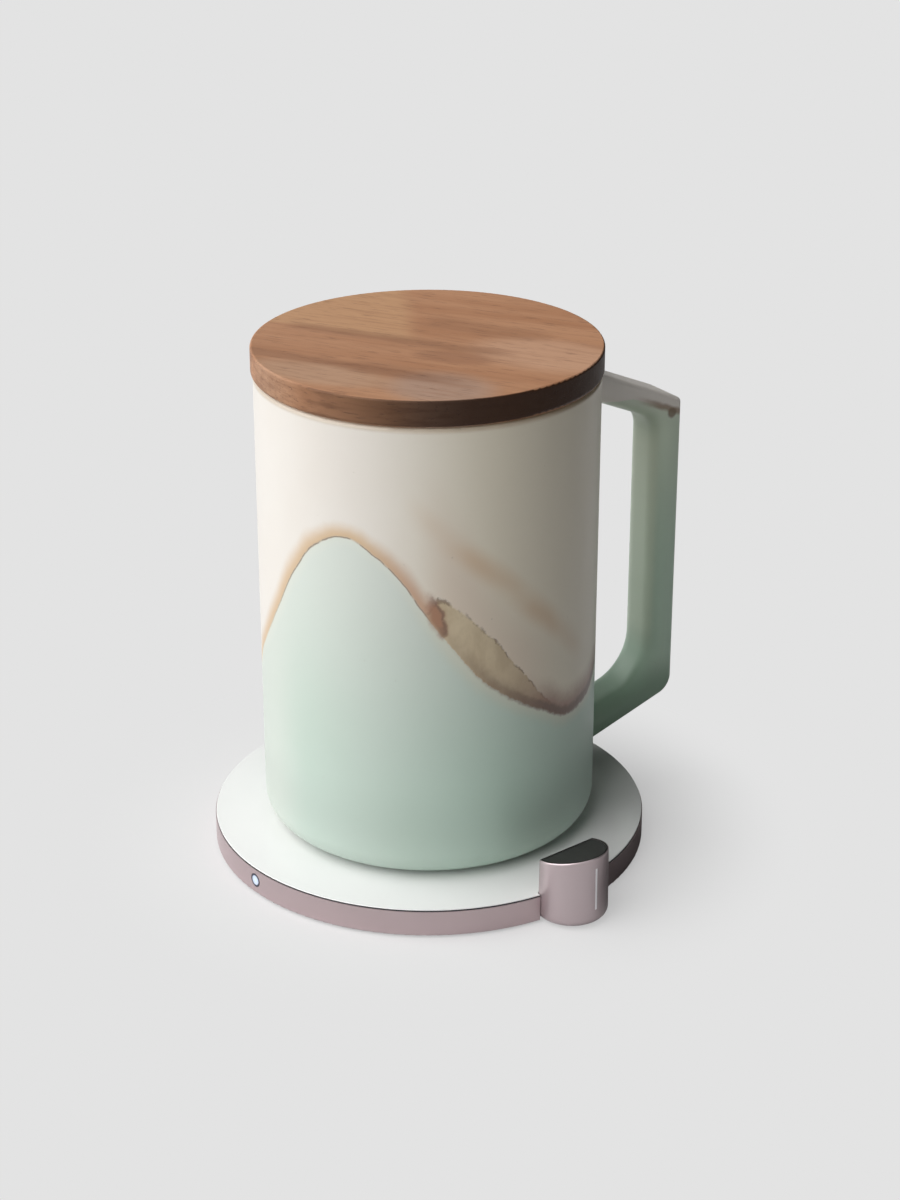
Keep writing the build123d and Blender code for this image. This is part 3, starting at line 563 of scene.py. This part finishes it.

# The mint: stronger and greener on the right, a painted tint of the shade there; paler up the hill; paler on
# the lit left, a painted highlight; a little darker at the foot.
mint_plain = (0.555, 0.665, 0.590, 1)
mint_deep = (0.530, 0.650, 0.565, 1)
mint_painted_shade_tint = (0.545, 0.710, 0.605, 1)
mint_high = (0.685, 0.735, 0.675, 1)
mint_painted_highlight = (0.680, 0.715, 0.655, 1)
mint = lay(clouded, mint_plain, mint_deep)
# Greener mint on the right: a painted tint of the shade on that side.
mint = lay(degrees.within(215, 265, 320, 350), mint, mint_painted_shade_tint)
mint = lay(z.ease(0.025, 0.092) * on_wall, mint, mint_high)
# Paler mint on the lit left: a painted highlight.
mint = lay(degrees.within(120, 160, 172, 195) * on_wall * 0.6, mint, mint_painted_highlight)
mint = shade(tree, mint, z.ease(0.034, 0.018).between(1.0, 0.90))

# The handle's mint: darkened by painted shade at its foot, paled by painted light on the side that faces the
# cup, and pale towards its top.
arm_mint = (0.510, 0.670, 0.535, 1)
arm_foot_painted_shade = (0.250, 0.375, 0.270, 1)
arm_inner_painted_light = (0.790, 0.900, 0.730, 1)
arm_high = (0.670, 0.735, 0.585, 1)
mint = lay(on_arm, mint, arm_mint)
# Painted shade at the handle's foot.
mint = lay(on_arm * z.ease(0.034, 0.024), mint, arm_foot_painted_shade)
# Painted light on the handle's side that faces the cup.
facing_cup = x.ease(0.0645, 0.0632) * y.ease(-0.0064, -0.0040) * z.within(0.031, 0.042, 0.088, 0.096)
mint = lay(on_arm * facing_cup * 0.9, mint, arm_inner_painted_light)
mint = lay(on_arm * z.ease(0.055, 0.100) * 0.65, mint, arm_high)

# Close under the pour's edge the mint thins out, sandy below the patch.
mint_sandy = (0.72, 0.70, 0.55, 1)
mint_thin = (0.76, 0.76, 0.67, 1)
sandy = rise.ease(-0.0045, 0.0) * degrees.within(225, 245, 300, 330) * on_wall
mint = lay(sandy * 0.55, mint, mint_sandy)
mint = lay(rise.ease(-0.0030, 0.0) * 0.35, mint, mint_thin)
colour = lay(rise.ease(-0.0001, 0.0003), mint, cream)

# Tan halo over the hill, redder towards its right foot, with a thin dark line where the glazes meet.
tan_gold = (0.66, 0.475, 0.295, 1)
tan_red = (0.58, 0.375, 0.255, 1)
line_brown = (0.25, 0.19, 0.145, 1)
tan = lay(degrees.ease(214, 234), tan_gold, tan_red)
over_hill = degrees.within(125, 160, 236, 246) * 0.65
off_patch = (1.0 - degrees.within(236, 246, 312, 330)) * 0.35
halo = rise.ease(-0.0004, 0.0004) * rise.ease(0.0042, 0.0004) * (over_hill + off_patch) * on_wall
colour = lay(halo * cloud.between(0.85, 1.05), colour, tan)
broken = noise(tree, place, 520.0, detail=3.0).ease(0.24, 0.50)
hairline = rise.near(0.0, 0.00006, 0.00020) * degrees.within(165, 190, 236, 242) * on_wall * broken
colour = lay(hairline * 0.75, colour, line_brown)

# Rosy cloud and soft rust smear in the cream over the right flank.
rose = (0.68, 0.54, 0.44, 1)
rust = (0.66, 0.455, 0.285, 1)
smear_start = 243.8 / 360
smear_height = 0.0930
smear_fall = 0.2257
rosy = wall_rise.within(0.001, 0.006, 0.010, 0.024) * degrees.within(232, 246, 266, 290) * on_wall
colour = lay(rosy * cloud.between(0.30, 0.65), colour, rose)
smear_line = smear_height - (turn - smear_start) * smear_fall + (cloud - 0.5) * 0.006
smear = abs(z - smear_line).ease(0.0062, 0.0) * degrees.within(228, 246, 284, 304) * on_wall
smear = smear * noise(tree, place, 48.0).ease(0.15, 0.60)
colour = lay(smear * 0.70, colour, rust)

# Brown patch between the smear and the pour's edge, torn and dark along its top, browner to the right.
patch_pale = (0.67, 0.555, 0.375, 1)
patch_streak = (0.54, 0.43, 0.275, 1)
patch_right = (0.43, 0.305, 0.20, 1)
torn_brown = (0.21, 0.145, 0.10, 1)
patch_top = (use(tree, patch_line, {"Turn": turn})["Height"] + ragged) / lean
under_top = patch_top - wall_rise
over_line = rise.ease(-0.0002, 0.0001)
patch_span = degrees.within(235, 240, 287, 292) * on_wall
streaked = noise(tree, stretch(tree, place, (1.0, 1.0, 0.55)), 210.0, detail=4.0, roughness=0.6)
patch_colour = lay(streaked.ease(0.32, 0.68), patch_pale, patch_streak)
patch_colour = lay(degrees.ease(252, 284) * 0.7, patch_colour, patch_right)
in_patch = under_top.ease(-0.0001, 0.0003) * over_line * patch_span
colour = lay(in_patch * 0.92, colour, patch_colour)
torn = noise(tree, place, 330.0, detail=3.0)
torn_edge = under_top.near(0.0001, 0.0001, 0.0004) * patch_span * torn.ease(0.40, 0.58)
colour = lay(torn_edge * 0.75, colour, torn_brown)

# Dark brown along the patch's foot, gathered at the low end of the pour.
foot_brown = (0.30, 0.205, 0.135, 1)
end_brown = (0.33, 0.185, 0.140, 1)
end_dark = (0.14, 0.085, 0.065, 1)
soft_line = torn_rise.ease(-0.0008, 0.0004)
foot = soft_line * torn_rise.ease(0.0042, 0.0002) * degrees.within(236, 262, 296, 330) * on_wall
colour = lay(foot * streaked.between(0.35, 1.0), colour, foot_brown)
low_end = soft_line * torn_rise.ease(0.0080, 0.0016) * degrees.within(264, 286, 312, 330) * on_wall
colour = lay(low_end * fine.between(0.65, 1.1), colour, end_brown)
low_line = torn_rise.near(0.0007, 0.0005, 0.0012) * degrees.within(250, 284, 312, 330) * on_wall
colour = lay(low_line * streaked.between(0.5, 1.1), colour, end_dark)

# Reddish knot where the halo meets the patch, darker round its far side.
knot_red = (0.38, 0.185, 0.110, 1)
knot_dark = (0.20, 0.115, 0.08, 1)
knot_turn = 240.0 / 360
knot_height = 0.0752
knot_half_width = 0.0018
knot_half_height = 0.0040
knot_up = z - knot_height
knot_aside = (turn - knot_turn) * girth + knot_up * 0.25
share_aside = knot_aside / knot_half_width
share_up = knot_up / knot_half_height
knot_far = (share_aside * share_aside + share_up * share_up).root() + (torn - 0.5) * 1.3
colour = lay(knot_far.ease(1.6, 0.4) * on_wall * 0.90, colour, knot_red)
knot_ring = knot_far.near(0.85, 0.05, 0.40) * knot_aside.ease(-0.0012, 0.0010) * on_wall
colour = lay(knot_ring * broken * 0.75, colour, knot_dark)

# Brown break on the handle with a drop gathered at its corner, a beige line along the lip just
# under the lid, and pinholes all over.
arm_brown = (0.25, 0.155, 0.085, 1)
drop_brown = (0.16, 0.10, 0.052, 1)
drop_middle = (0.0664, -0.0065, 0.0977)
lip_beige = (0.50, 0.39, 0.27, 1)
pinhole_brown = (0.45, 0.40, 0.32, 1)
arm_break = arm_rise.near(0.0002, 0.00025, 0.0010) * on_arm * x.ease(0.054, 0.063)
colour = lay(arm_break * 0.8, colour, arm_brown)
drop_away = put(tree, "ShaderNodeVectorMath", {0: place, 1: drop_middle}, operation="DISTANCE")
drop = (Spread(tree, drop_away.outputs["Value"]) + wander).ease(0.0017, 0.0009)
colour = lay(drop * 0.85, colour, drop_brown)
colour = lay(z.ease(lip_height - 0.0017, lip_height - 0.0007) * 0.6, colour, lip_beige)
pinholes = noise(tree, place, 700.0).ease(0.76, 0.82)
colour = lay(pinholes * 0.35, colour, pinhole_brown)
glaze_height = fine + rise.ease(-0.0004, 0.0006) * 1.2 - pinholes
coat(tree, skin, colour, fine.between(0.33, 0.43), glaze_height, depth=0.00006)
dress(glaze, "mug_body")

# Lid: a disc turned from one plank of walnut and oiled, with a plug on its underside for the seal.
# The plank's grain runs straight; round the edge a painted shade darkens the side away from the lamp.
lid_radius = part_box("lid")[1].x
grain_angle = math.radians(-57)
walnut, tree, skin, place = new_finish("walnut", {"Specular IOR Level": 0.15})
plank = put(tree, "ShaderNodeMapping", {"Vector": place, "Rotation": (0, 0, -grain_angle)}).outputs[0]
along, across = axes(tree, plank)[:2]
drawn = stretch(tree, plank, (0.10, 1.0, 0.6))
figure = noise(tree, drawn, 150.0, detail=3.0, roughness=0.55)
streaks = noise(tree, drawn, 700.0, detail=4.0, roughness=0.6)
pores = noise(tree, stretch(tree, plank, (0.07, 1.0, 1.0)), 2400.0).ease(0.60, 0.70)
sway = (noise(tree, stretch(tree, plank, (0.5, 1.0, 0.6)), 60.0) - 0.5) * 0.012
along_mm = along * 1000.0
across_mm = (across + sway * 0.45) * 1000.0

# The heartwood, with a golden side that ends at a slanting edge.
heart_pale = (0.495, 0.262, 0.148, 1)
heart_deep = (0.415, 0.205, 0.110, 1)
gold_wood = (0.56, 0.325, 0.180, 1)
wood = lay(figure.ease(0.3, 0.7), heart_pale, heart_deep)
gold_edge = along_mm * -1.0 - across_mm * 0.55 - 3.0 + sway * 700.0
golden = gold_edge.ease(-3.0, 4.0) * across_mm.ease(-2.5, 0.5)
wood = lay(golden * figure.between(1.0, 0.65), wood, gold_wood)

# Soft ovals of another tone: the middle along and across the grain, half the length and width, in mm.
wood_ovals = (
    (29, 2, 18, 11, 0.75, (0.575, 0.345, 0.225, 1)),
    (16, -28, 12, 10, 0.7, (0.42, 0.295, 0.23, 1)),
    (-12, -30, 18, 6, 0.7, (0.51, 0.325, 0.215, 1)),
    (10, -8, 9, 4, 0.5, (0.29, 0.140, 0.082, 1)))
for middle_along, middle_across, long, wide, strength, tone in wood_ovals:
    far_along = (along_mm - middle_along) / long
    far_across = (across_mm - middle_across) / wide
    oval = (far_along * far_along + far_across * far_across).ease(1.6, 0.3)
    wood = lay(oval * strength, wood, tone)

# Dark streaks along the grain: the middle across it, half the width, the start and the end, in mm.
streak_brown = (0.235, 0.112, 0.062, 1)
dark_streaks = ((-1.2, 0.6, -30, 24, 0.52), (-22.8, 0.6, -36, 20, 0.55), (-4.5, 2.0, -6, 26, 0.14),
                (14.0, 3.0, -2, 28, 0.30), (-22.0, 2.5, -4, 26, 0.30))
for middle_across, half_width, start, stop, strength in dark_streaks:
    span = along_mm.within(start - 8, start, stop - 10, stop)
    dark = across_mm.near(middle_across, half_width, 3.2) * span * figure.between(0.55, 1.35)
    wood = lay(dark * strength, wood, streak_brown)

# Fine streaks and open pores, then the edge: fine lines, painted shade darkest away from the lamp, and a
# painted highlight at the lit left end.
fine_brown = (0.29, 0.142, 0.080, 1)
pore_brown = (0.13, 0.065, 0.042, 1)
edge_brown = (0.20, 0.095, 0.055, 1)
edge_painted_shade = (0.030, 0.0125, 0.0062, 1)
edge_painted_highlight = (0.66, 0.45, 0.32, 1)
wood = lay(streaks.ease(0.45, 0.72) * 0.30, wood, fine_brown)
wood = lay(pores * 0.45, wood, pore_brown)
reach = (along * along + across * across).root()
on_edge = reach.ease(lid_radius - 0.0004, lid_radius - 0.0001)
along_share = along / lid_radius
edge_place = stretch(tree, plank, (0.35, 0.35, 2.4))
edge_lines = noise(tree, edge_place, 330.0, detail=4.0, roughness=0.6)
wood = lay(on_edge * edge_lines.ease(0.42, 0.70) * 0.55, wood, edge_brown)
# Painted shade round the edge, darkest on the side away from the lamp.
wood = lay(on_edge * along_share.ease(-0.85, 0.70) * 0.96, wood, edge_painted_shade)
# Painted highlight at the edge's lit left end.
wood = lay(on_edge * along_share.ease(-0.80, -0.98) * 0.6, wood, edge_painted_highlight)
coat(tree, skin, wood, streaks.between(0.42, 0.58), streaks - pores, depth=0.00005)
dress(walnut, "lid")

# Floor: a pale studio sweep that shows as bright as the backdrop and keeps the object's shadow close
# by. A dark card beside the pad shows only as mirrored in the object, and light from below comes
# through the floor under the pad.
backdrop_tone = 0.768
floor_light = 0.92
floor_grey = (0.40, 0.40, 0.40, 1)
floor_radius = 3.0
floor_height = -0.00005
opening_radius = 0.0495
shadow_near = 0.048
shadow_far = 0.092
mirror_near = 0.070
mirror_far = 0.200
card_start = 0.008
card_full = 0.028
card_reach = 0.068
card_end = 0.090
card_depth = 0.84


def add_mesh(name, shape):
    """Links a finished shape into the scene as an object."""
    mesh = bpy.data.meshes.new(name)
    shape.to_mesh(mesh)
    shape.free()
    thing = bpy.data.objects.new(name, mesh)
    bpy.context.collection.objects.link(thing)
    return thing


def shown_to_eye(tree):
    """Three masks for rays: those that see a thing at all, see it mirrored, or see it straight."""
    rays = {socket.name: Spread(tree, socket) for socket in put(tree, "ShaderNodeLightPath").outputs}
    straight = rays["Is Camera Ray"]
    mirrored = rays["Is Glossy Ray"].at_least(rays["Is Transmission Ray"])
    return straight.at_least(mirrored), mirrored, straight


shape = bmesh.new()
bmesh.ops.create_circle(shape, cap_ends=True, segments=64, radius=floor_radius,
                        matrix=Matrix.Translation((0, 0, floor_height)))
floor = add_mesh("floor", shape)
sweep = bpy.data.materials.new("pale_sweep")
sweep.use_nodes = True
tree = sweep.node_tree
tree.nodes.remove(tree.nodes["Principled BSDF"])
x, y = axes(tree, put(tree, "ShaderNodeTexCoord").outputs["Object"])[:2]
reach = (x * x + y * y).root()
seen, mirrored, straight = shown_to_eye(tree)
kept_straight = reach.ease(shadow_near, shadow_far).between(0.38, 0.0)
kept_mirrored = reach.ease(mirror_near, mirror_far).between(0.80, 0.05)
kept = kept_straight + mirrored * (kept_mirrored - kept_straight)
on_card = x.ease(card_start, card_full) * reach.ease(card_end, card_reach)
off_card = 1.0 - mirrored * on_card * card_depth
pale_level = (backdrop_tone - kept * floor_light) * off_card
pale = put(tree, "ShaderNodeEmission", {"Color": pale_level, "Strength": 1.0})
shaded = put(tree, "ShaderNodeBsdfDiffuse", {"Color": kept * off_card})
shown = put(tree, "ShaderNodeAddShader", {0: pale.outputs[0], 1: shaded.outputs[0]})
plain = put(tree, "ShaderNodeBsdfDiffuse", {"Color": floor_grey})
both = put(tree, "ShaderNodeMixShader", {0: seen, 1: plain.outputs[0], 2: shown.outputs[0]})
under_side = Spread(tree, put(tree, "ShaderNodeNewGeometry").outputs["Backfacing"])
under_pad = reach.ease(opening_radius + 0.0005, opening_radius) * (1.0 - straight)
clear = put(tree, "ShaderNodeBsdfTransparent")
open_below = put(tree, "ShaderNodeMixShader", {
    0: under_side.at_least(under_pad), 1: both.outputs[0], 2: clear.outputs[0]})
tree.links.new(open_below.outputs[0], tree.nodes["Material Output"].inputs["Surface"])
floor.data.materials.append(sweep)

# Flag: a sheet of black felt that stands on the right, out of the camera's sight.
# It keeps the pale surroundings off the object's right side.
flag_angle = math.radians(-10)
flag_away = 0.42
flag_front = -0.45
flag_back = 1.40
flag_height = 0.8
shape = bmesh.new()
corners = []
for aside, up in ((flag_front, 0), (flag_back, 0), (flag_back, flag_height), (flag_front, flag_height)):
    corners.append(shape.verts.new((flag_away * math.cos(flag_angle) - aside * math.sin(flag_angle),
                                    flag_away * math.sin(flag_angle) + aside * math.cos(flag_angle), up)))
shape.faces.new(corners)
flag = add_mesh("dark_flag", shape)
flag.visible_camera = False
felt = new_finish("black_felt", {"Base Color": (0.02, 0.02, 0.02, 1), "Roughness": 1.0,
                                 "Specular IOR Level": 0.0})[0]
flag.data.materials.append(felt)

# Light: one broad soft lamp high on the left, and a little light from all round, more of it from
# below, so that the underside shows too. The eye sees the backdrop's tone instead of that light.
light_above = 0.10
light_below = 0.60
key_azimuth = math.radians(167)
key_elevation = math.radians(40)
key_spread = math.radians(85)
key_strength = 3.9
world = bpy.data.worlds.new("studio")
bpy.context.scene.world = world
world.use_nodes = True
tree = world.node_tree
tree.nodes.remove(tree.nodes["Background"])
upward = axes(tree, put(tree, "ShaderNodeTexCoord").outputs["Generated"])[2]
round_strength = upward.ease(-0.10, 0.0).between(light_below, light_above)
round_light = put(tree, "ShaderNodeBackground", {"Color": (1, 1, 1, 1), "Strength": round_strength})
backdrop = put(tree, "ShaderNodeBackground", {
    "Color": (backdrop_tone, backdrop_tone, backdrop_tone, 1), "Strength": 1.0})
seen, mirrored, straight = shown_to_eye(tree)
both = put(tree, "ShaderNodeMixShader", {0: seen, 1: round_light.outputs[0], 2: backdrop.outputs[0]})
tree.links.new(both.outputs[0], tree.nodes["World Output"].inputs["Surface"])

key_light = bpy.data.lights.new("key_light", "SUN")
key_light.energy = key_strength
key_light.angle = key_spread
key_lamp = bpy.data.objects.new("key_light", key_light)
key_from = Vector((math.cos(key_azimuth) * math.cos(key_elevation),
                   math.sin(key_azimuth) * math.cos(key_elevation), math.sin(key_elevation)))
key_lamp.rotation_euler = key_from.to_track_quat("Z", "Y").to_euler()
bpy.context.collection.objects.link(key_lamp)

# Camera: a short telephoto lens that looks down on the mug from its front left, as in the photograph.
# Colours are shown as they are written.
camera_place = (-0.2961, -0.4654, 0.3070)
camera_tilt = math.radians(66.0)
camera_turn = math.radians(-33.0)
camera_data = bpy.data.cameras.new("camera")
camera_data.lens = 76.04
camera_data.sensor_width = 36.0
camera = bpy.data.objects.new("camera", camera_data)
camera.location = camera_place
camera.rotation_euler = (camera_tilt, 0.0, camera_turn)
bpy.context.collection.objects.link(camera)
bpy.context.scene.camera = camera
bpy.context.scene.view_settings.view_transform = "Standard"
